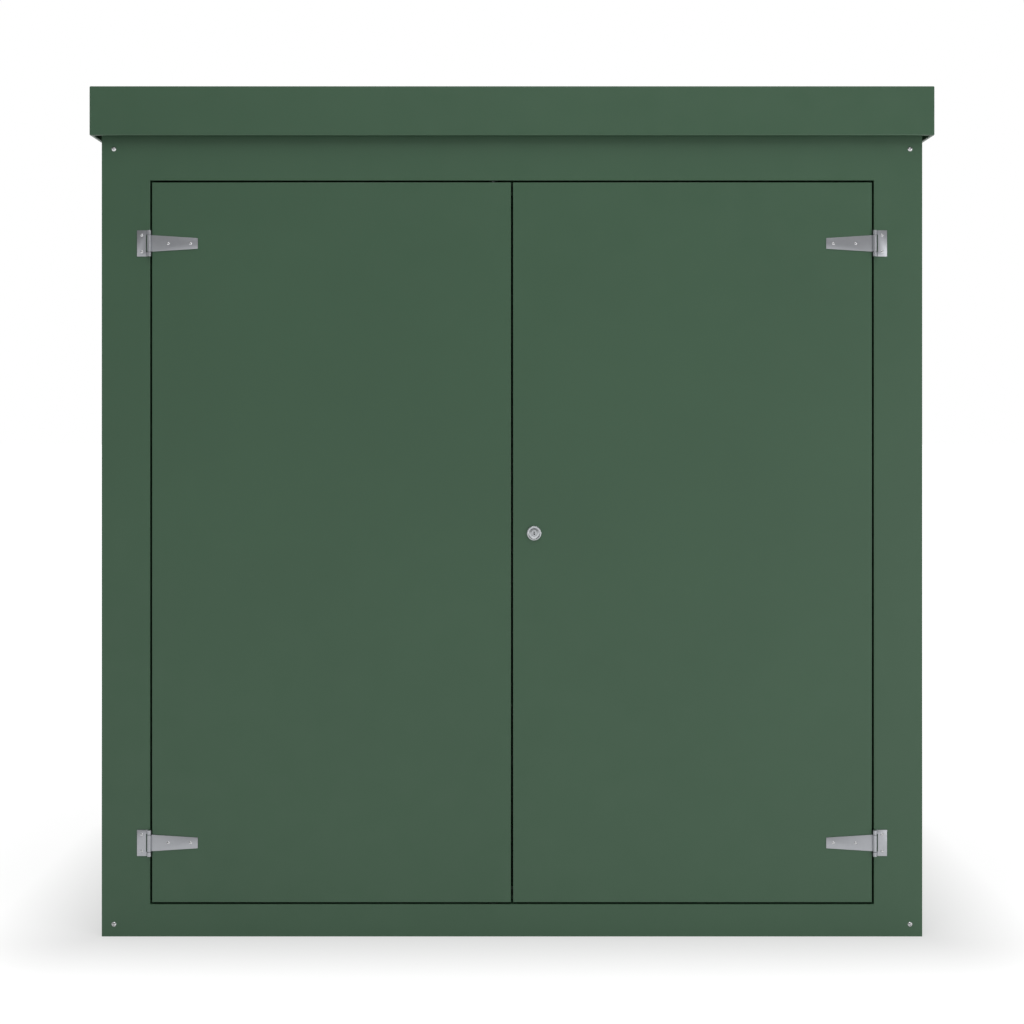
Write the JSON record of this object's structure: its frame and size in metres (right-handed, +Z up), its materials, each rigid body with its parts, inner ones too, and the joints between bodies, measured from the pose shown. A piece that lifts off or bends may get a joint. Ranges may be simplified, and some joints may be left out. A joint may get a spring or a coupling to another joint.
{
  "type": "fibreglass walk-in enclosure",
  "caption": "Square-fronted green fibreglass equipment cabin with flush double doors on steel tee hinges and an overhanging lid-like roof.",
  "frame": {"origin": "middle of the footprint, on the ground", "axes": "+X to the right along the doors' side, +Y from the doors towards the back, +Z up"},
  "size_m": [2.09, 1.09, 2.11],
  "materials": {
    "green_gelcoat": "satin green gelcoat on moulded fibreglass",
    "white_flowcoat": "pale brushed-out flowcoat over laminate",
    "grp_angle": "pultruded fibreglass angle, pale grey",
    "roof_core": "laminated foam core, pale",
    "seal_rubber": "black EPDM strip",
    "hinge_steel": "bright zinc-plated pressed steel",
    "screw_steel": "stainless round heads",
    "bolt_steel": "zinc-plated steel",
    "lock_nickel": "satin nickel-plated die casting"
  },
  "bodies": {
    "enclosure": {"front_stile_left": "green_gelcoat", "front_stile_right": "green_gelcoat", "front_head": "green_gelcoat", "front_sill": "green_gelcoat", "door_stop_left": "green_gelcoat", "door_stop_right": "green_gelcoat", "door_stop_top": "green_gelcoat", "door_stop_bottom": "green_gelcoat", "door_seal": "seal_rubber", "left_wall": "green_gelcoat", "right_wall": "green_gelcoat", "back_wall": "green_gelcoat", "left_wall_lining": "white_flowcoat", "right_wall_lining": "white_flowcoat", "back_wall_lining": "white_flowcoat", "roof_cap": "green_gelcoat", "roof_deck": "roof_core", "ceiling_lining": "white_flowcoat", "base_angle_left": "grp_angle", "base_angle_right": "grp_angle", "base_angle_front": "grp_angle", "base_angle_back": "grp_angle", "panel_screws": "screw_steel", "bolt_keeps": "bolt_steel", "hinge_plates": "hinge_steel", "hinge_pins": "hinge_steel", "hinge_plate_screws": "screw_steel"},
    "left_leaf": {"left_door": "green_gelcoat", "left_door_lining": "white_flowcoat", "left_hinge_straps": "hinge_steel", "left_strap_screws": "screw_steel", "flush_bolts": "bolt_steel", "lock_keep": "bolt_steel"},
    "right_leaf": {"right_door": "green_gelcoat", "right_door_lining": "white_flowcoat", "right_hinge_straps": "hinge_steel", "right_strap_screws": "screw_steel", "lock_case": "lock_nickel", "lock_nut": "bolt_steel", "lock_plug": "lock_nickel", "lock_cam": "bolt_steel"}
  },
  "joints": [
    {"name": "left_door_hinge", "type": "hinge", "parent": "enclosure", "child": "left_leaf", "pos_m": [-0.901, -0.5255, 0.98], "axis": [0, 0, -1], "range_deg": [0, 170]},
    {"name": "right_door_hinge", "type": "hinge", "parent": "enclosure", "child": "right_leaf", "pos_m": [0.901, -0.5255, 0.98], "axis": [0, 0, 1], "range_deg": [0, 170]}
  ]
}
